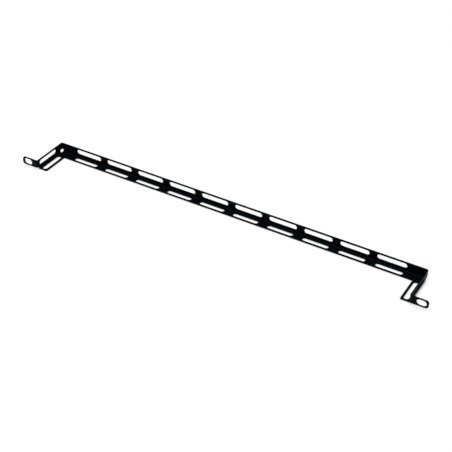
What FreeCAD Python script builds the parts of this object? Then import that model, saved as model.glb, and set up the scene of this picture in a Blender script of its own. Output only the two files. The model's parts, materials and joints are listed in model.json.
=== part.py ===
import FreeCAD, Part
import math
import os

# Offset lacing bar for a 19-inch rack: one strip of sheet steel, punched and folded.
# An upright plate runs along the bar, turns forward into two arms and out into two ears.
# A flange lies along the foot of the bar and of both arms, on the inside, mitred at the corners.
# X runs along the bar, the ears are at the front (-Y) and the flange lies on the floor, Z = 0.
# The origin is on the floor, midway between the ears and between the ears' front and the bar's back.

# Driving dimensions, in millimetres.

# Rack interface: an upright ear at each end with one level slot.
HOLE_SPACING = 465.1  # between the middles of the two ear slots, as the rack's holes are spaced
EAR_SLOT_LENGTH = 10.8
EAR_SLOT_HEIGHT = 7.3
EAR_RIM = 0.7  # metal above and below an ear slot
EAR_END = 1.65  # metal outside an ear slot's outer end
EAR_ROOT = 5.75  # from an ear slot's inner end to the arm's outer face
EAR_CORNER = 3.0  # rounding of an ear's outer corners
EAR_RELIEF = 0.75  # straight plate between the ear's bend and the end of the arm's flange

# Sheet and folds.
SHEET = 1.5  # thickness
BEND_RADIUS = 1.0  # inside every fold
DEPTH = 47.4  # from the ears' front face to the bar's back face
MITRE_GAP = 0.2  # between the flanges at each inside corner
FLANGE_CORNER = 1.2  # rounding of each arm flange's front corner
RELIEF_ALONG_BAR = 2.9  # window at the foot of each corner, from the outer faces
RELIEF_ALONG_ARM = 5.1
RELIEF_HEIGHT = 4.1

# Section of the bar and the arms: the same across the plate and across the flange.
FOLD_BAND = 4.0  # plain band from the outer face of the fold to the slots
SLOT_WIDTH = 6.05
EDGE_RIM = 1.15  # metal between a slot and the free edge

# Lacing slots.
PLATE_SLOT_LENGTH = 32.8
FLANGE_SLOT_LENGTH = 30.2
SLOT_WEB = 7.9  # metal between two slots of the plate, and at least as much beyond each row
ARM_SLOT_MARGIN = 1.1  # from each end of the arm's free flange edge to its slots
ARM_EDGE_RIM = 1.8  # metal between the slot of an arm's flange and its free edge

# Sizes that follow from them.
BEND_OUTSIDE = BEND_RADIUS + SHEET
LEG = FOLD_BAND + SLOT_WIDTH + EDGE_RIM
SLOT_LINE = FOLD_BAND + SLOT_WIDTH / 2
EAR_SLOT_X = HOLE_SPACING / 2
EAR_TIP_X = EAR_SLOT_X + EAR_SLOT_LENGTH / 2 + EAR_END
ARM_X = EAR_SLOT_X - EAR_SLOT_LENGTH / 2 - EAR_ROOT
EAR_SLOT_Z = LEG - EAR_RIM - EAR_SLOT_HEIGHT / 2
EAR_FOOT_Z = LEG - EAR_SLOT_HEIGHT - 2 * EAR_RIM
FRONT_Y = -DEPTH / 2
BACK_Y = DEPTH / 2
FLANGE_FRONT_Y = FRONT_Y + BEND_OUTSIDE + EAR_RELIEF
FLANGE_EDGE_Y = BACK_Y - LEG

# Views that outlines are drawn in: across, up the page, and the way the outline is extruded.
PLAN = (FreeCAD.Vector(1, 0, 0), FreeCAD.Vector(0, 1, 0), FreeCAD.Vector(0, 0, 1))
FRONT = (FreeCAD.Vector(1, 0, 0), FreeCAD.Vector(0, 0, 1), FreeCAD.Vector(0, 1, 0))
SIDE = (FreeCAD.Vector(0, 1, 0), FreeCAD.Vector(0, 0, 1), FreeCAD.Vector(1, 0, 0))
SAME_POINT = 1e-6


def unit(vector):
    """Copy of a vector, one long."""
    return vector / vector.Length


def rounded_wire(points, radii):
    """Closed wire through the points, each corner rounded by a tangent arc of its radius."""
    bends = []
    for index, (point, radius) in enumerate(zip(points, radii)):
        to_last = unit(points[index - 1] - point)
        to_next = unit(points[(index + 1) % len(points)] - point)
        half_angle = to_last.getAngle(to_next) / 2
        tangent = radius / math.tan(half_angle)
        inset = radius / math.sin(half_angle) - radius
        middle = point + unit(to_last + to_next) * inset
        bends.append((point + to_last * tangent, middle, point + to_next * tangent))
    edges = []
    for index, (start, middle, end) in enumerate(bends):
        last_end = bends[index - 1][2]
        if last_end.distanceToPoint(start) > SAME_POINT:
            edges.append(Part.LineSegment(last_end, start).toShape())
        if start.distanceToPoint(end) > SAME_POINT:
            edges.append(Part.Arc(start, middle, end).toShape())
    return Part.Wire(edges)


def prism(view, corners, low, high):
    """Solid of an outline with corners (across, up, radius), from low to high along the depth."""
    across, up, depth = view
    points = [across * u + up * v + depth * low for u, v, radius in corners]
    wire = rounded_wire(points, [radius for u, v, radius in corners])
    return Part.Face(wire).extrude(depth * (high - low))


def block(view, low_corner, high_corner, radius, low, high):
    """Solid of a rectangle with four corners of one radius."""
    (u0, v0), (u1, v1) = low_corner, high_corner
    corners = [(u0, v0, radius), (u1, v0, radius), (u1, v1, radius), (u0, v1, radius)]
    return prism(view, corners, low, high)


def slot(view, middle, length, width, low, high):
    """Round-ended punch, its length across the view."""
    u, v = middle
    low_corner = (u - length / 2, v - width / 2)
    high_corner = (u + length / 2, v + width / 2)
    return block(view, low_corner, high_corner, width / 2, low, high)


def mirrored(shape):
    """The same shape on the left."""
    return shape.mirror(FreeCAD.Vector(0, 0, 0), FreeCAD.Vector(1, 0, 0))


def upright_plate():
    """Plate of the bar and both arms with its two upright bends, above the fold."""
    inner_x = ARM_X - SHEET
    corners = [
        (ARM_X, FLANGE_FRONT_Y, 0),
        (ARM_X, BACK_Y, BEND_OUTSIDE),
        (-ARM_X, BACK_Y, BEND_OUTSIDE),
        (-ARM_X, FLANGE_FRONT_Y, 0),
        (-inner_x, FLANGE_FRONT_Y, 0),
        (-inner_x, BACK_Y - SHEET, BEND_RADIUS),
        (inner_x, BACK_Y - SHEET, BEND_RADIUS),
        (inner_x, FLANGE_FRONT_Y, 0),
    ]
    return prism(PLAN, corners, BEND_OUTSIDE, LEG)


def right_ear():
    """Ear with its bend and the short plate that joins it to the arm."""
    corners = [
        (ARM_X - SHEET, FLANGE_FRONT_Y, 0),
        (ARM_X - SHEET, FRONT_Y, BEND_OUTSIDE),
        (EAR_TIP_X, FRONT_Y, 0),
        (EAR_TIP_X, FRONT_Y + SHEET, 0),
        (ARM_X, FRONT_Y + SHEET, BEND_RADIUS),
        (ARM_X, FLANGE_FRONT_Y, 0),
    ]
    strip = prism(PLAN, corners, EAR_FOOT_Z, LEG)
    seen_from_front = [
        (ARM_X - SHEET, EAR_FOOT_Z, 0),
        (EAR_TIP_X, EAR_FOOT_Z, EAR_CORNER),
        (EAR_TIP_X, LEG, EAR_CORNER),
        (ARM_X - SHEET, LEG, 0),
    ]
    return strip.common(prism(FRONT, seen_from_front, FRONT_Y, FLANGE_FRONT_Y))


def fold_section(outer, inward):
    """Section of the fold and flange below the plate: its outer face and the way the flange points."""
    return [
        (outer, BEND_OUTSIDE, 0),
        (outer, 0, BEND_OUTSIDE),
        (outer + inward * LEG, 0, 0),
        (outer + inward * LEG, SHEET, 0),
        (outer + inward * SHEET, SHEET, BEND_RADIUS),
        (outer + inward * SHEET, BEND_OUTSIDE, 0),
    ]


def bar_flange():
    """Fold and flange along the bar, mitred at both ends."""
    mitre_x = ARM_X - MITRE_GAP / math.sqrt(2)
    strip = prism(SIDE, fold_section(BACK_Y, -1), -ARM_X, ARM_X)
    seen_from_above = [
        (mitre_x, BACK_Y, 0),
        (-mitre_x, BACK_Y, 0),
        (LEG - mitre_x, FLANGE_EDGE_Y, 0),
        (mitre_x - LEG, FLANGE_EDGE_Y, 0),
    ]
    return strip.common(prism(PLAN, seen_from_above, 0, BEND_OUTSIDE))


def right_arm_flange():
    """Fold and flange along the right arm, square at the ear and mitred at the bar."""
    mitre_y = BACK_Y - MITRE_GAP / math.sqrt(2)
    strip = prism(FRONT, fold_section(ARM_X, -1), FLANGE_FRONT_Y, BACK_Y)
    seen_from_above = [
        (ARM_X, FLANGE_FRONT_Y, 0),
        (ARM_X, mitre_y, 0),
        (ARM_X - LEG, mitre_y - LEG, 0),
        (ARM_X - LEG, FLANGE_FRONT_Y, FLANGE_CORNER),
    ]
    return strip.common(prism(PLAN, seen_from_above, 0, BEND_OUTSIDE))


def right_corner_window():
    """Relief cut out of the foot of the corner, where the upright bend meets the fold."""
    low_corner = (ARM_X - RELIEF_ALONG_BAR, BACK_Y - RELIEF_ALONG_ARM)
    return block(PLAN, low_corner, (ARM_X, BACK_Y), 0, 0, RELIEF_HEIGHT)


def bar_slots():
    """The two rows of lacing slots along the bar, one in the plate and one in the flange."""
    pitch = PLATE_SLOT_LENGTH + SLOT_WEB
    room = 2 * (ARM_X - LEG - SLOT_WEB)
    count = int((room + SLOT_WEB) / pitch)
    slots = []
    for index in range(count):
        x = (index - (count - 1) / 2) * pitch
        slots.append(slot(FRONT, (x, SLOT_LINE), PLATE_SLOT_LENGTH, SLOT_WIDTH, BACK_Y - SHEET, BACK_Y))
        slots.append(slot(PLAN, (x, BACK_Y - SLOT_LINE), FLANGE_SLOT_LENGTH, SLOT_WIDTH, 0, SHEET))
    return slots


def right_arm_slots():
    """One lacing slot in the right arm's plate and one in its flange."""
    front = FLANGE_FRONT_Y + ARM_SLOT_MARGIN
    back = FLANGE_EDGE_Y - ARM_SLOT_MARGIN
    half = SLOT_WIDTH / 2
    top = FOLD_BAND + SLOT_WIDTH
    x = ARM_X - LEG + ARM_EDGE_RIM
    in_plate = block(SIDE, (front, FOLD_BAND), (back, top), half, ARM_X - SHEET, ARM_X)
    in_flange = block(PLAN, (x, front), (x + SLOT_WIDTH, back), half, 0, SHEET)
    return [in_plate, in_flange]


def right_ear_slot():
    """Level slot for the screw that holds the ear to the rack."""
    middle = (EAR_SLOT_X, EAR_SLOT_Z)
    return slot(FRONT, middle, EAR_SLOT_LENGTH, EAR_SLOT_HEIGHT, FRONT_Y, FRONT_Y + SHEET)


def lacing_bar():
    """The whole folded sheet as one solid."""
    right_sheets = [right_ear(), right_arm_flange()]
    right_cuts = [right_corner_window(), right_ear_slot()] + right_arm_slots()
    sheets = [bar_flange()] + right_sheets + [mirrored(sheet) for sheet in right_sheets]
    cuts = bar_slots() + right_cuts + [mirrored(cut) for cut in right_cuts]
    folded = upright_plate().multiFuse(sheets).removeSplitter()
    return folded.cut(cuts).removeSplitter()


os.makedirs("parts", exist_ok=True)
lacing_bar().exportStep("parts/lacing_bar.step")
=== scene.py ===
"""Offset lacing bar for a rack: one strip of steel sheet, slotted flat, folded and powder coated."""

import json
import logging
import math
from collections.abc import Mapping, Sequence
from dataclasses import dataclass, field
from enum import Enum

import bmesh
import bpy
from mathutils import Matrix, Vector
from mathutils.geometry import delaunay_2d_cdt


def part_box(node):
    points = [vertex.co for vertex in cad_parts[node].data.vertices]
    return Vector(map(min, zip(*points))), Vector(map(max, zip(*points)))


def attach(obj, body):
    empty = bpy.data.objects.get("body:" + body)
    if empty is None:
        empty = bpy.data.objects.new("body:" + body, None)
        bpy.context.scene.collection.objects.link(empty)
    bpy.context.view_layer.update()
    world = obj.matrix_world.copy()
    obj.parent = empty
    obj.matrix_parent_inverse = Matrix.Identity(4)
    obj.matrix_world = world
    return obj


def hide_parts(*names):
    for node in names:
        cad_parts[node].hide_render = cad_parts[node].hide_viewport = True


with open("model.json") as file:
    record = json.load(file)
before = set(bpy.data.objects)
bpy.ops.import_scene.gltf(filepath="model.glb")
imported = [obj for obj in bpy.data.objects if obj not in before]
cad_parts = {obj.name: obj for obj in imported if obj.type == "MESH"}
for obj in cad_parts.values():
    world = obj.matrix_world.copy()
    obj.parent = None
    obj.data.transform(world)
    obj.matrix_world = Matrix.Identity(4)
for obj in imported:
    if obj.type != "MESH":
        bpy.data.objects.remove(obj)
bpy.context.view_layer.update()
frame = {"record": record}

Colour = tuple[float, float, float]
Spot = tuple[float, float]  # a place on the flat sheet: along the strip and across it

ROOT_BODY = "root"
RACK_MOUNT = "rack_slots"  # the record's mount that holds the ear slots' sizes
LACING_SLOT = "plate_slot_"  # how the record's names of the slots along the bar start
EDGE_LAYER = "rounded_edge"  # the mesh's layer that marks cut edges
MILLIMETRE = 0.001
QUARTER_TURN = math.pi / 2
NOISE_MIDDLE = 0.5

log = logging.getLogger("lacing_bar")


class Maths(Enum):
    """Operations of a Math node that the finishes use."""

    ADD = "ADD"
    SUBTRACT = "SUBTRACT"
    MULTIPLY = "MULTIPLY"


@dataclass(frozen=True)
class Link:
    """An output socket. Arithmetic on a number's socket adds Math nodes."""

    graph: "Graph"
    socket: bpy.types.NodeSocket

    def also(self, output: str) -> "Link":
        """Another output of the same node."""
        return Link(self.graph, self.socket.node.outputs[output])

    def __add__(self, other: "Link | float") -> "Link":
        """This number plus another."""
        return self.graph.maths(Maths.ADD, self, other)

    def __radd__(self, other: float) -> "Link":
        """A number plus this one."""
        return self.graph.maths(Maths.ADD, other, self)

    def __sub__(self, other: "Link | float") -> "Link":
        """This number less another."""
        return self.graph.maths(Maths.SUBTRACT, self, other)

    def __rsub__(self, other: float) -> "Link":
        """A number less this one."""
        return self.graph.maths(Maths.SUBTRACT, other, self)

    def __mul__(self, other: "Link | float") -> "Link":
        """This number times another."""
        return self.graph.maths(Maths.MULTIPLY, self, other)

    def __rmul__(self, other: float) -> "Link":
        """A number times this one."""
        return self.graph.maths(Maths.MULTIPLY, other, self)


class Graph:
    """The shader nodes of one material or world, which starts empty."""

    def __init__(self, owner: bpy.types.Material | bpy.types.World) -> None:
        """Empties the owner's node tree.

        Args:
            owner: material or world that the nodes belong to.
        """
        owner.use_nodes = True
        self.tree = owner.node_tree
        self.tree.nodes.clear()

    def node(
        self,
        kind: str,
        settings: Mapping[str, object] | None = None,
        sockets: Mapping[str, object] | None = None,
        output: str = "",
    ) -> Link | None:
        """Adds one node, sets it up and feeds its sockets.

        Args:
            kind: the node's type, such as ShaderNodeBump.
            settings: the node's own settings, which are set first.
            sockets: a value or a Link for each input, by the input's identifier.
            output: identifier of the output to give back, or nothing for the first.

        Returns:
            The chosen output, or None for a node that has no outputs.
        """
        made = self.tree.nodes.new(kind)
        for name, value in (settings or {}).items():
            setattr(made, name, value)
        inputs = {socket.identifier: socket for socket in made.inputs}
        for name, value in (sockets or {}).items():
            if isinstance(value, Link):
                self.tree.links.new(value.socket, inputs[name])
            else:
                inputs[name].default_value = value
        outputs = {socket.identifier: socket for socket in made.outputs}
        if not outputs:
            return None
        return Link(self, outputs[output] if output else made.outputs[0])

    def maths(self, operation: Maths, first: Link | float, second: Link | float) -> Link:
        """Math node of two numbers.

        Args:
            operation: what it does with them.
            first: the left-hand number.
            second: the right-hand number.

        Returns:
            The result's socket.
        """
        numbers = {"Value": first, "Value_001": second}
        return self.node("ShaderNodeMath", {"operation": operation.value}, numbers)

    def noise(self, place: Link, size: float, detail: float) -> Link:
        """Noise between 0 and 1.

        Args:
            place: coordinates of the surface.
            size: rough width of one blot in metres.
            detail: octaves of finer noise.

        Returns:
            The noise's value.
        """
        sockets = {"Vector": place, "Scale": 1.0 / size, "Detail": detail}
        return self.node("ShaderNodeTexNoise", sockets=sockets, output="Fac")

    def mixed(self, share: Link, first: Colour, second: Colour) -> Link:
        """Colour between two colours.

        Args:
            share: how much there is of the second.
            first: the colour at a share of 0.
            second: the colour at a share of 1.

        Returns:
            The mixed colour's socket.
        """
        sockets = {"Factor_Float": share, "A_Color": (*first, 1.0), "B_Color": (*second, 1.0)}
        return self.node("ShaderNodeMix", {"data_type": "RGBA"}, sockets, "Result_Color")

    def seen(self) -> Link:
        """1 for rays that show the background: the camera's, and those in gloss and glass."""
        camera = self.node("ShaderNodeLightPath", output="Is Camera Ray")
        return camera + camera.also("Is Glossy Ray") + camera.also("Is Transmission Ray")


@dataclass(frozen=True)
class PowderCoat:
    """Fine black powder coat, baked on steel: faint orange peel, smoother where it rounds an edge."""

    name: str = "black_powder_coat"
    deep: Colour = (0.0002, 0.0006, 0.0014)
    pale: Colour = (0.0008, 0.0015, 0.0031)
    shine: Colour = (0.62, 0.94, 1.0)
    gloss: float = 0.066  # level of the shine, where 0.5 is that of clear lacquer
    roughness: float = 0.50
    roughness_drift: float = 0.12
    edge_polish: float = 0.06  # how much smoother the coat is where it rounds an edge
    cloud_size: float = 18.0 * MILLIMETRE
    cloud_detail: float = 3.0
    peel_size: float = 1.4 * MILLIMETRE
    peel_detail: float = 1.0
    grain_size: float = 0.4 * MILLIMETRE
    grain_detail: float = 2.0
    peel_share: float = 0.6  # of the relief; the grain has the rest
    relief: float = 0.12 * MILLIMETRE
    relief_strength: float = 0.8

    def material(self) -> bpy.types.Material:
        """The coat, which follows the piece's own coordinates.

        Returns:
            The material.
        """
        made = bpy.data.materials.new(self.name)
        graph = Graph(made)
        place = graph.node("ShaderNodeTexCoord", output="Object")
        clouds = graph.noise(place, self.cloud_size, self.cloud_detail)
        peel = graph.noise(place, self.peel_size, self.peel_detail)
        grain = graph.noise(place, self.grain_size, self.grain_detail)
        edge = graph.node("ShaderNodeAttribute", {"attribute_name": EDGE_LAYER}, output="Fac")
        height = peel * self.peel_share + grain * (1.0 - self.peel_share)
        relief = {"Strength": self.relief_strength, "Distance": self.relief, "Height": height}
        drift = (clouds - NOISE_MIDDLE) * self.roughness_drift
        coat = graph.node(
            "ShaderNodeBsdfPrincipled",
            sockets={
                "Base Color": graph.mixed(clouds, self.deep, self.pale),
                "Roughness": self.roughness + drift - edge * self.edge_polish,
                "Specular IOR Level": self.gloss,
                "Specular Tint": (*self.shine, 1.0),
                "Normal": graph.node("ShaderNodeBump", sockets=relief),
            },
        )
        graph.node("ShaderNodeOutputMaterial", sockets={"Surface": coat})
        return made


@dataclass(frozen=True)
class StudioWhite:
    """Matt floor that takes a soft shadow and glows white for the eye; near the bar the glow is held
    back, which paints a darker contact shade into the crevices.
    """

    name: str = "studio_white"
    colour: Colour = (0.31, 0.31, 0.31)
    glow: float = 0.72  # with the light that falls on the floor, it makes white
    painted_shade_reach: float = 2.2 * MILLIMETRE  # how near a piece has to be to hold the glow back: the reach of the painted contact shade
    painted_shade_rays: int = 4

    def material(self) -> bpy.types.Material:
        """The floor's paint, with painted contact shade in its glow.

        Returns:
            The material.
        """
        made = bpy.data.materials.new(self.name)
        graph = Graph(made)
        # ambient occlusion dims the floor's glow beside the bar: painted contact shade in its crevices
        clear = graph.node(
            "ShaderNodeAmbientOcclusion",
            settings={"samples": self.painted_shade_rays},
            sockets={"Distance": self.painted_shade_reach},
            output="AO",
        )
        paint = graph.node(
            "ShaderNodeBsdfPrincipled",
            sockets={
                "Base Color": (*self.colour, 1.0),
                "Roughness": 1.0,
                "Specular IOR Level": 0.0,
                "Emission Color": graph.seen() * clear,
                "Emission Strength": self.glow,
            },
        )
        graph.node("ShaderNodeOutputMaterial", sockets={"Surface": paint})
        return made


@dataclass(frozen=True)
class Leg:
    """One stretch of the strip's outer face, seen from above: straight, or an arc."""

    length: float
    turn: float = 0.0  # radians, positive to the left

    def place(self, along: float) -> tuple[Vector, float]:
        """Where the leg is, from its own start and heading.

        Args:
            along: distance from the leg's start.

        Returns:
            The place and the change of heading.
        """
        if self.turn == 0.0:
            return Vector((along, 0.0)), 0.0
        heading = self.turn * along / self.length
        radius = self.length / self.turn
        return Vector((radius * math.sin(heading), radius * (1.0 - math.cos(heading)))), heading


@dataclass(frozen=True)
class Station:
    """Where a leg of the run starts, and its heading there."""

    along: float
    place: Vector
    heading: float
    leg: Leg


@dataclass
class Run:
    """The strip's outer face from ear tip to ear tip, seen from above and measured from its middle."""

    start: Vector
    legs: Sequence[Leg]
    stations: list[Station] = field(init=False)

    def __post_init__(self) -> None:
        """Works out where each leg starts."""
        along = -sum(leg.length for leg in self.legs) / 2
        place, heading = self.start, 0.0
        self.stations = []
        for leg in self.legs:
            self.stations.append(Station(along, place, heading, leg))
            step, turned = leg.place(leg.length)
            place = place + Matrix.Rotation(heading, 2) @ step
            heading += turned
            along += leg.length

    def place(self, along: float) -> tuple[Vector, float]:
        """Where the run is.

        Args:
            along: distance from the run's middle.

        Returns:
            The place, and the heading in radians from +X.
        """
        reached = [station for station in self.stations if station.along <= along] or self.stations[:1]
        last = reached[-1]
        step, turned = last.leg.place(along - last.along)
        return last.place + Matrix.Rotation(last.heading, 2) @ step, last.heading + turned

    def bend_lines(self, steps: int) -> list[float]:
        """Lines across every bend, from where it starts to where it ends.

        Args:
            steps: how many stretches each bend is split into.

        Returns:
            Each line's distance from the run's middle.
        """
        bends = [(station.along, station.leg.length) for station in self.stations if station.leg.turn]
        return [along + length * step / steps for along, length in bends for step in range(steps + 1)]


@dataclass(frozen=True)
class Section:
    """The strip's outer face across: the flange from its free edge, then the fold, then the plate."""

    reach: float  # height of the plate and width of the flange
    radius: float  # outside the fold

    @property
    def fold_low(self) -> float:
        """Where the fold starts."""
        return self.reach - self.radius

    @property
    def fold_high(self) -> float:
        """Where the fold ends and the plate starts."""
        return self.fold_low + self.radius * QUARTER_TURN

    @property
    def top(self) -> float:
        """The plate's free edge."""
        return self.fold_high + self.reach - self.radius

    def at_height(self, height: float) -> float:
        """The place on the plate at a height above the floor."""
        return self.fold_high + height - self.radius

    def at_depth(self, depth: float) -> float:
        """The place on the flange at a depth from the plate's outer face."""
        return self.reach - depth

    def place(self, up: float) -> tuple[float, float, float]:
        """Where the section is.

        Args:
            up: distance from the flange's free edge.

        Returns:
            The depth from the plate's outer face, the height, and the sheet's tilt from upright.
        """
        if up <= self.fold_low:
            return self.reach - up, 0.0, QUARTER_TURN
        if up >= self.fold_high:
            return 0.0, self.radius + up - self.fold_high, 0.0
        tilt = (self.fold_high - up) / self.radius
        return self.radius * (1.0 - math.cos(tilt)), self.radius * (1.0 - math.sin(tilt)), tilt

    def fold_lines(self, steps: int) -> list[float]:
        """Lines along the fold, from where it starts to where it ends."""
        share = (self.fold_high - self.fold_low) / steps
        return [self.fold_low + share * step for step in range(steps + 1)]


@dataclass(frozen=True)
class Folding:
    """How the flat strip is folded: the run seen from above and the section across it."""

    run: Run
    section: Section

    def axes(self, along: float, up: float) -> tuple[Vector, Vector, Vector]:
        """The sheet's own directions once it is folded.

        Args:
            along: distance along the strip from its middle.
            up: distance across the strip from the flange's free edge.

        Returns:
            Unit vectors along the strip, up the sheet, and through it from its outer face.
        """
        _, heading = self.run.place(along)
        _, _, tilt = self.section.place(up)
        ahead = Vector((math.cos(heading), math.sin(heading), 0.0))
        inward = Vector((math.sin(heading), -math.cos(heading), 0.0))
        rise = Vector((0.0, 0.0, 1.0))
        through = inward * math.cos(tilt) + rise * math.sin(tilt)
        return ahead, rise * math.cos(tilt) - inward * math.sin(tilt), through

    def place(self, along: float, up: float, deep: float) -> Vector:
        """A point of the flat sheet once it is folded.

        Args:
            along: distance along the strip from its middle.
            up: distance across the strip from the flange's free edge.
            deep: distance into the sheet from its outer face.

        Returns:
            The point in the object's frame.
        """
        spot, heading = self.run.place(along)
        depth, height, _ = self.section.place(up)
        inward = Vector((math.sin(heading), -math.cos(heading), 0.0))
        outer = Vector((spot.x, spot.y, height)) + inward * depth
        _, _, through = self.axes(along, up)
        return outer + through * deep


@dataclass(frozen=True)
class Corner:
    """A corner of a cut in the flat sheet, with its rounding."""

    along: float
    up: float
    radius: float

    def mirrored(self) -> "Corner":
        """The same corner on the other half of the strip."""
        return Corner(-self.along, self.up, self.radius)


@dataclass(frozen=True)
class CutPoint:
    """A point of a cut edge on the flat sheet, and the way out of the metal there."""

    along: float
    up: float
    out_along: float
    out_up: float

    def built_up(self, by: float) -> "CutPoint":
        """The point on an edge that stands out further."""
        return CutPoint(*self.inset(-by), self.out_along, self.out_up)

    def inset(self, by: float) -> Spot:
        """The place that lies a distance into the metal."""
        return self.along - self.out_along * by, self.up - self.out_up * by


@dataclass(frozen=True)
class Cut:
    """A closed cut: its corners run anticlockwise round the metal, and clockwise round a slot."""

    corners: tuple[Corner, ...]

    def arc(self, index: int, grid: "Grid") -> list[CutPoint]:
        """Points of one rounded corner.

        Args:
            index: which corner.
            grid: the spacing of the points.

        Returns:
            The points from the arc's start to its end.
        """
        last, corner = self.corners[index - 1], self.corners[index]
        following = self.corners[(index + 1) % len(self.corners)]
        way_in = Vector((corner.along - last.along, corner.up - last.up)).normalized()
        way_out = Vector((following.along - corner.along, following.up - corner.up)).normalized()
        turn = math.atan2(way_in.x * way_out.y - way_in.y * way_out.x, way_in.dot(way_out))
        radius = math.copysign(corner.radius, turn)
        right = Vector((way_in.y, -way_in.x))
        start = Vector((corner.along, corner.up)) - way_in * (corner.radius * math.tan(abs(turn) / 2))
        centre = start - right * radius
        steps = max(grid.arc_fewest, math.ceil(abs(turn) / grid.arc_step))
        points = []
        for step in range(steps + 1):
            out = Matrix.Rotation(turn * step / steps, 2) @ right
            place = centre + out * radius
            points.append(CutPoint(place.x, place.y, out.x, out.y))
        return points

    def points(self, grid: "Grid") -> list[CutPoint]:
        """Points all round the cut.

        Args:
            grid: the lines that split straight edges, and the spacing of the points.

        Returns:
            The points in order, with none twice.
        """
        arcs = [self.arc(index, grid) for index in range(len(self.corners))]
        points = []
        for arc, following in zip(arcs, arcs[1:] + arcs[:1]):
            points += arc
            points += grid.between(arc[-1], following[0])
        pairs = zip(points, points[-1:] + points[:-1])
        apart = [(a, math.hypot(a.along - b.along, a.up - b.up)) for a, b in pairs]
        return [point for point, gap in apart if gap > grid.tolerance]


@dataclass(frozen=True)
class Slot:
    """A round-ended slot in the flat sheet, its length along the strip."""

    along: float
    up: float
    length: float
    width: float

    def mirrored(self) -> "Slot":
        """The same slot on the other half of the strip."""
        return Slot(-self.along, self.up, self.length, self.width)

    def cut(self) -> Cut:
        """The slot's outline.

        Returns:
            The outline as one cut.
        """
        left, right = self.along - self.length / 2, self.along + self.length / 2
        low, high = self.up - self.width / 2, self.up + self.width / 2
        spots = ((left, low), (left, high), (right, high), (right, low))
        return Cut(tuple(Corner(along, up, self.width / 2) for along, up in spots))

    def holds(self, along: float, up: float, margin: float) -> bool:
        """Whether a place is in the slot or within a margin of it.

        Args:
            along: the place's distance along the strip.
            up: its distance across the strip.
            margin: how far past the slot's edge still counts.

        Returns:
            True if it is.
        """
        straight = (self.length - self.width) / 2
        past = max(0.0, abs(along - self.along) - straight)
        return math.hypot(past, up - self.up) < self.width / 2 + margin


@dataclass(frozen=True)
class Grid:
    """Spacing of the mesh on the flat sheet, with the lines where it bends."""

    along_lines: Sequence[float]
    up_lines: Sequence[float]
    step: float = 2.0 * MILLIMETRE  # largest distance between points on a straight
    arc_step: float = math.radians(9.0)  # largest turn between points on an arc
    arc_fewest: int = 2  # steps on an arc
    tolerance: float = 0.001 * MILLIMETRE  # distance under which two points are one

    def spread(self, low: float, high: float) -> list[float]:
        """Evenly spaced places from low to high, no further apart than the step."""
        pieces = max(1, math.ceil((high - low) / self.step))
        return [low + (high - low) * piece / pieces for piece in range(pieces + 1)]

    def between(self, start: CutPoint, end: CutPoint) -> list[CutPoint]:
        """Points on a straight edge, also where a bend's line crosses it.

        Args:
            start: the edge's first point.
            end: its last point.

        Returns:
            The points strictly between the two.
        """
        run, rise = end.along - start.along, end.up - start.up
        length = math.hypot(run, rise)
        if length < self.tolerance:
            return []
        shares = {0.0, 1.0}
        if abs(run) > self.tolerance:
            shares |= {(line - start.along) / run for line in self.along_lines}
        if abs(rise) > self.tolerance:
            shares |= {(line - start.up) / rise for line in self.up_lines}
        stops = sorted(share for share in shares if 0.0 <= share <= 1.0)
        points = []
        for low, high in zip(stops, stops[1:]):
            for place in self.spread(low * length, high * length)[1:]:
                share = place / length
                spot = (start.along + run * share, start.up + rise * share)
                points.append(CutPoint(*spot, start.out_along, start.out_up))
        return points[:-1]


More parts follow.
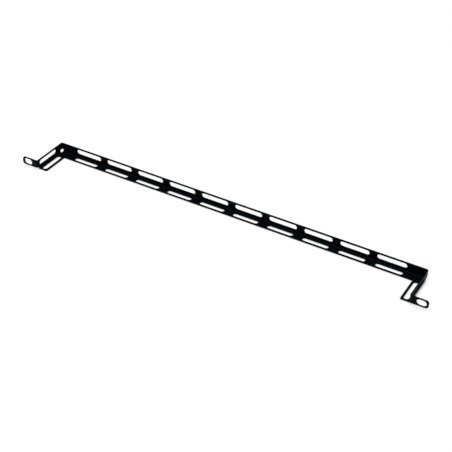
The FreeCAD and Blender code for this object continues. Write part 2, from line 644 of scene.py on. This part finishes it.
@dataclass
class SheetMesh:
    """Vertices and faces of a folded sheet with rounded cut edges."""

    folding: Folding
    sheet: float
    rounding: float
    steps: int = 3  # round each edge
    join_bend: float = math.radians(0.5)  # most between two triangles that make a quad
    join_skew: float = math.radians(50.0)  # most that the quad's corners may stray from square
    vertices: list[Vector] = field(default_factory=list)
    normals: list[Vector] = field(default_factory=list)
    edge_marks: list[float] = field(default_factory=list)
    faces: list[tuple[int, ...]] = field(default_factory=list)

    def add(self, along: float, up: float, deep: float, normal: Sequence[float], edge: float) -> int:
        """Adds one vertex.

        Args:
            along: distance along the strip from its middle.
            up: distance across the strip from the flange's free edge.
            deep: distance into the sheet from its outer face.
            normal: the surface's normal along the strip, up the sheet and through it.
            edge: 1 on a cut edge and 0 on the sheet's faces.

        Returns:
            The vertex's number.
        """
        axes = zip(self.folding.axes(along, up), normal)
        self.vertices.append(self.folding.place(along, up, deep))
        self.normals.append(sum((axis * share for axis, share in axes), Vector((0, 0, 0))))
        self.edge_marks.append(edge)
        return len(self.vertices) - 1

    def add_faces(
        self, spots: Sequence[Spot], triangles: Sequence[Sequence[int]]
    ) -> tuple[list[int], list[int]]:
        """Adds both faces of the sheet.

        Args:
            spots: places on the flat sheet.
            triangles: numbers of the places at each triangle's corners, anticlockwise.

        Returns:
            The vertices' numbers on the outer face and on the inner face.
        """
        outer = [self.add(along, up, 0.0, (0, 0, -1), 0.0) for along, up in spots]
        inner = [self.add(along, up, self.sheet, (0, 0, 1), 0.0) for along, up in spots]
        for triangle in triangles:
            self.faces.append(tuple(outer[number] for number in reversed(triangle)))
            self.faces.append(tuple(inner[number] for number in triangle))
        return outer, inner

    def add_edge(self, cut: Sequence[CutPoint], outer: Sequence[int], inner: Sequence[int]) -> None:
        """Adds the wall of a cut, rounded towards both faces.

        Args:
            cut: the cut's points in order.
            outer: the vertex that the outer face has beside each point.
            inner: the vertex that the inner face has beside each point.
        """
        rows = [list(outer)]
        angles = [QUARTER_TURN * step / self.steps for step in range(1, self.steps + 1)]
        for angle in angles:
            rows.append(self.edge_row(cut, angle, self.rounding * (1.0 - math.cos(angle))))
        for angle in [QUARTER_TURN] + [QUARTER_TURN + angle for angle in angles[:-1]]:
            deep = self.sheet - self.rounding * (1.0 + math.cos(angle))
            rows.append(self.edge_row(cut, angle, deep))
        rows.append(list(inner))
        for low, high in zip(rows, rows[1:]):
            for number in range(len(cut)):
                after = (number + 1) % len(cut)
                self.faces.append((low[number], low[after], high[after], high[number]))

    def edge_row(self, cut: Sequence[CutPoint], angle: float, deep: float) -> list[int]:
        """Adds one row of vertices along a cut.

        Args:
            cut: the cut's points in order.
            angle: how far the surface has turned from the outer face, in radians.
            deep: distance into the sheet from its outer face.

        Returns:
            The vertices' numbers.
        """
        numbers = []
        for point in cut:
            along, up = point.inset(self.rounding * (1.0 - math.sin(angle)))
            out = math.sin(angle)
            normal = (point.out_along * out, point.out_up * out, -math.cos(angle))
            numbers.append(self.add(along, up, deep, normal, out))
        return numbers

    def mesh(self, name: str) -> bpy.types.Mesh:
        """The finished mesh, with exact normals and a layer that marks the cut edges.

        Args:
            name: the mesh's name.

        Returns:
            The mesh.
        """
        made = bpy.data.meshes.new(name)
        made.from_pydata(self.vertices, [], self.faces)
        squared = bmesh.new()
        squared.from_mesh(made)
        bmesh.ops.join_triangles(
            squared,
            faces=[face for face in squared.faces if len(face.verts) == 3],
            angle_face_threshold=self.join_bend,
            angle_shape_threshold=self.join_skew,
        )
        squared.to_mesh(made)
        squared.free()
        made.shade_smooth()
        made.normals_split_custom_set_from_vertices(self.normals)
        layer = made.attributes.new(EDGE_LAYER, "FLOAT", "POINT")
        layer.data.foreach_set("value", self.edge_marks)
        return made


@dataclass
class LacingBar:
    """The folded strip: a bar between two arms with ears, and a flange along its foot and the arms'."""

    half_width: float  # from the middle to an ear's tip
    depth: float  # from the ears' front face to the bar's back face
    reach: float  # height of the plate and width of the flange
    ear_slot_x: float
    ear_slot_z: float
    ear_slot_length: float
    ear_slot_width: float
    slot_places: Sequence[float]  # middles of the lacing slots along the bar
    sheet: float = 1.5 * MILLIMETRE
    bend: float = 1.0 * MILLIMETRE  # inside every fold
    rounding: float = 0.2 * MILLIMETRE  # of the coat over a cut edge
    edge_build: float = 0.25 * MILLIMETRE  # of the coat, which gathers on cut edges
    snip: float = 0.3 * MILLIMETRE  # rounding of a cut's sharp corners
    ear_root: float = 5.75 * MILLIMETRE  # from an ear slot's inner end to the arm's outer face
    ear_rim: float = 0.7 * MILLIMETRE  # below an ear's slot
    ear_corner: float = 3.0 * MILLIMETRE
    ear_relief: float = 0.75 * MILLIMETRE  # from the ear's bend to the end of the arm's flange
    flange_corner: float = 1.2 * MILLIMETRE
    mitre_gap: float = 0.05 * MILLIMETRE  # that the coat leaves open
    relief_along_bar: float = 2.9 * MILLIMETRE  # of the window at a corner's foot, as the next two are
    relief_along_arm: float = 5.1 * MILLIMETRE
    relief_height: float = 4.1 * MILLIMETRE
    fold_band: float = 4.0 * MILLIMETRE  # from the fold's outer face to the slots
    slot_width: float = 6.05 * MILLIMETRE
    plate_slot: float = 32.8 * MILLIMETRE
    flange_slot: float = 30.2 * MILLIMETRE
    arm_slot_margin: float = 1.1 * MILLIMETRE  # past each end of an arm's slots
    arm_edge_rim: float = 1.8 * MILLIMETRE  # from the arm flange's free edge to its slot
    bend_steps: int = 10
    node: str = "lacing_bar"
    slot_name: str = "sheet"
    piece_name: str = "coated_lacing_bar"
    outside: float = field(init=False)  # radius outside every fold
    arm_x: float = field(init=False)  # outer face of the right arm
    front_y: float = field(init=False)
    back_y: float = field(init=False)
    section: Section = field(init=False)
    folding: Folding = field(init=False)
    arm_begins: float = field(init=False)  # along the strip, as the next four are
    ear_begins: float = field(init=False)
    flange_front: float = field(init=False)  # front end of the right arm's flange
    window_on_arm: float = field(init=False)  # the relief window's end on the right arm
    window_on_bar: float = field(init=False)  # and on the bar
    window_top: float = field(init=False)  # across the strip
    ear_foot: float = field(init=False)  # the ear's lower edge, across the strip

    @classmethod
    def from_frame(cls, record: Mapping[str, object]) -> "LacingBar":
        """The bar at the frame's size, with the slots where the record has them.

        Args:
            record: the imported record.

        Returns:
            The bar.
        """
        low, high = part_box(cls.node)
        rack = next(mount for mount in record["mounts"] if mount["name"] == RACK_MOUNT)
        rooms = [room for room in record["physics"]["openings"] if room["name"].startswith(LACING_SLOT)]
        ends = [(room["box_m"][0][0], room["box_m"][1][0]) for room in rooms]
        return cls(
            half_width=high.x,
            depth=high.y - low.y,
            reach=high.z,
            ear_slot_x=rack["dims"]["spacing_x_mm"] * MILLIMETRE / 2,
            ear_slot_z=rack["pos_m"][2],
            ear_slot_length=rack["dims"]["slot_length_mm"] * MILLIMETRE,
            ear_slot_width=rack["dims"]["hole_r_mm"] * MILLIMETRE * 2,
            slot_places=[(left + right) / 2 for left, right in ends],
        )

    def __post_init__(self) -> None:
        """Works out the run, the section and the places that both halves share."""
        self.outside = self.bend + self.sheet
        self.arm_x = self.ear_slot_x - self.ear_slot_length / 2 - self.ear_root
        self.front_y, self.back_y = -self.depth / 2, self.depth / 2
        ear = Leg(self.half_width - self.arm_x - self.bend)
        ear_bend = Leg(self.bend * QUARTER_TURN, QUARTER_TURN)
        arm = Leg(self.depth - self.sheet - self.bend - self.outside)
        corner = Leg(self.outside * QUARTER_TURN, -QUARTER_TURN)
        bar = Leg(2 * (self.arm_x - self.outside))
        left = [ear, ear_bend, arm, corner]
        start = Vector((-self.half_width, self.front_y + self.sheet))
        self.section = Section(self.reach, self.outside)
        self.folding = Folding(Run(start, [*left, bar, *reversed(left)]), self.section)
        self.arm_begins = bar.length / 2 + corner.length
        self.ear_begins = self.arm_begins + arm.length + ear_bend.length
        self.flange_front = self.arm_along(self.front_y + self.outside + self.ear_relief)
        self.window_on_arm = self.arm_along(self.back_y - self.relief_along_arm)
        self.window_on_bar = self.arm_x - self.relief_along_bar
        self.window_top = self.section.at_height(self.relief_height)
        self.ear_foot = self.section.at_height(self.ear_slot_z - self.ear_slot_width / 2 - self.ear_rim)

    def arm_along(self, y: float) -> float:
        """Distance along the strip of a place on the right arm."""
        return self.arm_begins + self.back_y - self.outside - y

    def ear_along(self, x: float) -> float:
        """Distance along the strip of a place on the right ear."""
        return self.ear_begins + x - self.arm_x - self.bend

    def outline(self) -> Cut:
        """The blank's outline, anticlockwise from the right end of the bar's flange.

        Returns:
            The outline as one cut.
        """
        section, snip = self.section, self.snip
        gap = self.mitre_gap / math.sqrt(2) + self.edge_build * math.sqrt(2)
        spur = section.at_depth(self.relief_along_bar)
        spur_tip = self.arm_along(self.back_y - gap - self.relief_along_bar)
        arm_mitre = self.arm_along(self.back_y - gap - self.reach)
        tip = self.ear_along(self.half_width)
        right = [
            Corner(self.arm_x - gap - self.reach, 0.0, snip),
            Corner(self.window_on_bar, section.at_depth(self.relief_along_bar - gap), snip),
            Corner(self.window_on_bar, self.window_top, snip),
            Corner(self.window_on_arm, self.window_top, snip),
            Corner(self.window_on_arm, spur, snip),
            Corner(spur_tip, spur, snip),
            Corner(arm_mitre, 0.0, snip),
            Corner(self.flange_front, 0.0, self.flange_corner),
            Corner(self.flange_front, self.ear_foot, snip),
            Corner(tip, self.ear_foot, self.ear_corner),
            Corner(tip, section.top, self.ear_corner),
        ]
        return Cut(tuple(right + [corner.mirrored() for corner in reversed(right)]))

    def slots(self) -> list[Slot]:
        """Every slot of the blank.

        Returns:
            The slots of the bar, of the arms and of the ears.
        """
        section, width = self.section, self.slot_width
        middle = self.fold_band + width / 2
        slots = []
        for x in self.slot_places:
            slots.append(Slot(x, section.at_height(middle), self.plate_slot, width))
            slots.append(Slot(x, section.at_depth(middle), self.flange_slot, width))
        margin = self.arm_slot_margin
        front, back = self.flange_front - margin, self.arm_along(self.back_y - self.reach - margin)
        along, length = (front + back) / 2, front - back
        right = [
            Slot(along, section.at_height(middle), length, width),
            Slot(along, self.arm_edge_rim + width / 2, length, width),
            Slot(
                self.ear_along(self.ear_slot_x),
                section.at_height(self.ear_slot_z),
                self.ear_slot_length,
                self.ear_slot_width,
            ),
        ]
        return slots + right + [slot.mirrored() for slot in right]

    def creases(self, grid: Grid) -> list[list[Spot]]:
        """Rows of places on the lines where the sheet bends, a little short of its cut edges.

        Args:
            grid: the bends' lines and the spacing of the places.

        Returns:
            One row for each line.
        """
        short = 2 * self.rounding + self.snip
        high = self.section.top - short
        rows = []
        for along in grid.along_lines:
            low = self.window_top if abs(along) < self.flange_front else self.ear_foot
            rows.append([(along, up) for up in grid.spread(low + short, high)])
        bar_end, arm_end = self.window_on_bar - short, self.window_on_arm + short
        front = self.flange_front - short
        for up in grid.up_lines:
            for start, end in ((-front, -arm_end), (-bar_end, bar_end), (arm_end, front)):
                rows.append([(along, up) for along in grid.spread(start, end)])
        return rows

    def net(
        self, cuts: Sequence[Sequence[CutPoint]], grid: Grid
    ) -> tuple[list[Spot], list[tuple[int, int]]]:
        """What the flat blank's triangles keep to: the cuts, set in by the rounding, and the creases.

        Args:
            cuts: the points of each cut, in order.
            grid: the bends' lines and the spacing of the places.

        Returns:
            The places, those of the cuts first, and pairs of them that an edge has to join.
        """
        places, links = [], []
        for cut in cuts:
            first, count = len(places), len(cut)
            places += [point.inset(self.rounding) for point in cut]
            links += [(first + number, first + (number + 1) % count) for number in range(count)]
        for row in self.creases(grid):
            first = len(places)
            places += row
            links += [(first + number, first + number + 1) for number in range(len(row) - 1)]
        return places, links

    def triangulated(
        self,
        places: Sequence[Spot],
        links: Sequence[tuple[int, int]],
        slots: Sequence[Slot],
        tolerance: float,
    ) -> tuple[list[Spot], list[Sequence[int]], dict[int, int]]:
        """Fills the flat blank with triangles and leaves its slots open.

        Args:
            places: the places that the triangles have to meet.
            links: pairs of places that an edge has to join.
            slots: the slots to leave open.
            tolerance: distance under which two places are one.

        Returns:
            The triangles' points, the triangles, and each given place's number among the points.
        """
        inside_the_outline = 1
        flat = [Vector(place) for place in places]
        found = delaunay_2d_cdt(flat, links, [], inside_the_outline, tolerance)
        points, _, filled, sources, _, _ = found
        spots = [(point.x, point.y) for point in points]
        triangles = []
        for triangle in filled:
            sums = (sum(spots[number][axis] for number in triangle) for axis in (0, 1))
            along, up = (total / len(triangle) for total in sums)
            if not any(slot.holds(along, up, self.rounding - self.edge_build) for slot in slots):
                triangles.append(triangle)
        numbers = {place: number for number, given in enumerate(sources) for place in given}
        return spots, triangles, numbers

    def folded(self) -> SheetMesh:
        """The strip's faces and cut edges: cut flat, meshed, folded and given rounded edges.

        Returns:
            The sheet's vertices and faces.
        """
        steps, slots = self.bend_steps, self.slots()
        grid = Grid(self.folding.run.bend_lines(steps), self.section.fold_lines(steps))
        bare = [cut.points(grid) for cut in [self.outline()] + [slot.cut() for slot in slots]]
        cuts = [[point.built_up(self.edge_build) for point in cut] for cut in bare]
        places, links = self.net(cuts, grid)
        spots, triangles, numbers = self.triangulated(places, links, slots, grid.tolerance)
        made = SheetMesh(self.folding, self.sheet, self.rounding)
        outer, inner = made.add_faces(spots, triangles)
        first = 0
        for cut in cuts:
            ring = [numbers[first + number] for number in range(len(cut))]
            made.add_edge(cut, [outer[number] for number in ring], [inner[number] for number in ring])
            first += len(cut)
        return made

    def build(self) -> bpy.types.Object:
        """The strip as one piece.

        Returns:
            The object, which rides on the frame and stands for its node.
        """
        piece = bpy.data.objects.new(self.piece_name, self.folded().mesh(self.piece_name))
        bpy.context.scene.collection.objects.link(piece)
        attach(piece, ROOT_BODY)
        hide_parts(self.node)
        return piece

    def dress(self, piece: bpy.types.Object, coat: PowderCoat) -> None:
        """Gives the strip its coat.

        Args:
            piece: the folded strip.
            coat: the finish.
        """
        piece.data.materials.append(coat.material())


@dataclass(frozen=True)
class Lamp:
    """A far soft light, even over the whole floor."""

    name: str
    azimuth: float  # degrees round the object, 0 in front of it and 90 at its right
    elevation: float  # degrees above the floor
    spread: float  # degrees across, as the object sees it
    strength: float  # light on a surface that faces it

    def build(self) -> bpy.types.Object:
        """The lamp, linked to the scene.

        Returns:
            The lamp's object.
        """
        lamp = bpy.data.lights.new(self.name, "SUN")
        lamp.energy, lamp.angle = self.strength, math.radians(self.spread)
        made = bpy.data.objects.new(self.name, lamp)
        around, above = math.radians(self.azimuth), math.radians(self.elevation)
        flat = math.cos(above)
        away = Vector((math.sin(around) * flat, -math.cos(around) * flat, math.sin(above)))
        made.location = away
        made.rotation_euler = away.to_track_quat("Z", "Y").to_euler()
        bpy.context.scene.collection.objects.link(made)
        return made


@dataclass(frozen=True)
class Viewpoint:
    """The camera as it stood for the photograph, in a frame as wide as it is high."""

    place: tuple[float, float, float] = (0.457582, -0.843461, 0.676483)
    azimuth: float = 28.1439  # degrees, 0 looks along +Y
    elevation: float = 35.4222  # degrees that it looks down
    roll: float = 2.4464  # degrees that the picture is turned
    focal_pixels: float = 1121.93
    frame_pixels: float = 452.0
    sensor: float = 36.0  # millimetres across, as Blender counts a lens
    nearest: float = 0.01
    farthest: float = 200.0

    def build(self) -> bpy.types.Object:
        """The camera, set as the scene's own.

        Returns:
            The camera's object.
        """
        lens = bpy.data.cameras.new("viewpoint")
        lens.sensor_width = self.sensor
        lens.lens = self.sensor * self.focal_pixels / self.frame_pixels
        lens.clip_start, lens.clip_end = self.nearest, self.farthest
        made = bpy.data.objects.new("viewpoint", lens)
        turn = Matrix.Rotation(math.radians(self.azimuth), 4, "Z")
        tilt = Matrix.Rotation(QUARTER_TURN - math.radians(self.elevation), 4, "X")
        roll = Matrix.Rotation(math.radians(self.roll), 4, "Z")
        made.matrix_world = Matrix.Translation(self.place) @ turn @ tilt @ roll
        bpy.context.scene.collection.objects.link(made)
        bpy.context.scene.camera = made
        return made


@dataclass(frozen=True)
class Studio:
    """White floor, dim surroundings, a soft lamp and the camera."""

    floor_side: float = 40.0
    surroundings: float = 0.12  # light from all round
    paint: StudioWhite = StudioWhite()
    lamp: Lamp = Lamp("key", azimuth=-50.0, elevation=83.0, spread=40.0, strength=2.75)
    viewpoint: Viewpoint = Viewpoint()

    def build(self) -> list[bpy.types.Object]:
        """Surroundings, floor, lamp and camera.

        Returns:
            The objects that were made.
        """
        bpy.context.scene.view_settings.view_transform = "Standard"
        self.surround()
        return [self.floor(), self.lamp.build(), self.viewpoint.build()]

    def surround(self) -> None:
        """Lights the scene dimly and evenly from all round; the picture's white is the floor's."""
        world = bpy.data.worlds.new("surroundings")
        graph = Graph(world)
        white = {"Color": (1.0, 1.0, 1.0, 1.0), "Strength": self.surroundings}
        light = graph.node("ShaderNodeBackground", sockets=white)
        graph.node("ShaderNodeOutputWorld", sockets={"Surface": light})
        bpy.context.scene.world = world

    def floor(self) -> bpy.types.Object:
        """The floor that the bar lies on.

        Returns:
            The floor's object.
        """
        half = self.floor_side / 2
        corners = [(-half, -half, 0.0), (half, -half, 0.0), (half, half, 0.0), (-half, half, 0.0)]
        mesh = bpy.data.meshes.new("floor")
        mesh.from_pydata(corners, [], [(0, 1, 2, 3)])
        mesh.materials.append(self.paint.material())
        made = bpy.data.objects.new("floor", mesh)
        bpy.context.scene.collection.objects.link(made)
        return made


def main() -> None:
    """Builds the bar, then the studio round it."""
    logging.basicConfig(level=logging.INFO, format="%(message)s")
    bar = LacingBar.from_frame(frame["record"])
    piece = bar.build()
    bar.dress(piece, PowderCoat())
    log.info("%s: %d faces", piece.name, len(piece.data.polygons))
    for made in Studio().build():
        log.info("studio: %s", made.name)


if __name__ == "__main__":
    main()
